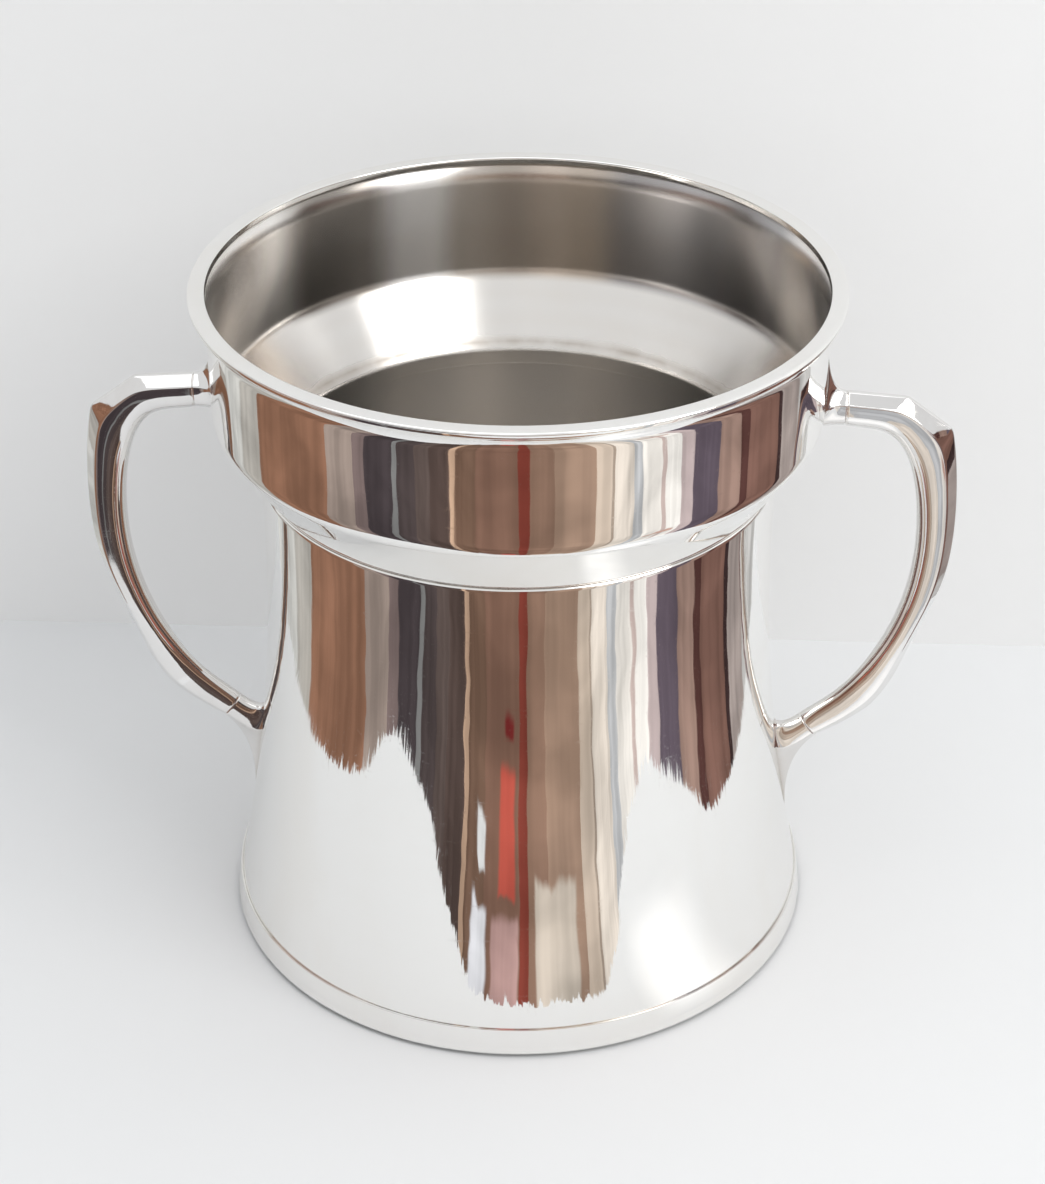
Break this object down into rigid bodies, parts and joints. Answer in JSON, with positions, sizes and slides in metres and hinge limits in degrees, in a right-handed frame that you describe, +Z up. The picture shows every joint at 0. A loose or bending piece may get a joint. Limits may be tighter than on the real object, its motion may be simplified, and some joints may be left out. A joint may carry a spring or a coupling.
{
  "type": "champagne bucket",
  "caption": "Round silver champagne bucket with a flared body, stepped collar, flat lip and two faceted side handles.",
  "frame": {"origin": "centre of the face the bucket stands on", "axes": "+Z up through the mouth, +X through the right handle, +Y to the back"},
  "size_m": [0.2692, 0.194, 0.219],
  "materials": {
    "polished_silver": "mirror-polished silver plate outside, brushed inside",
    "satin_silver": "unpolished satin silver plate"
  },
  "bodies": {
    "root": {"lip_ring": "polished_silver", "collar": "polished_silver", "body_shell": "polished_silver", "foot_ring": "polished_silver", "right_handle_bar": "polished_silver", "left_handle_bar": "polished_silver", "right_upper_root": "polished_silver", "left_upper_root": "polished_silver", "right_lower_root": "polished_silver", "left_lower_root": "polished_silver", "base_plate": "satin_silver"}
  },
  "joints": []
}
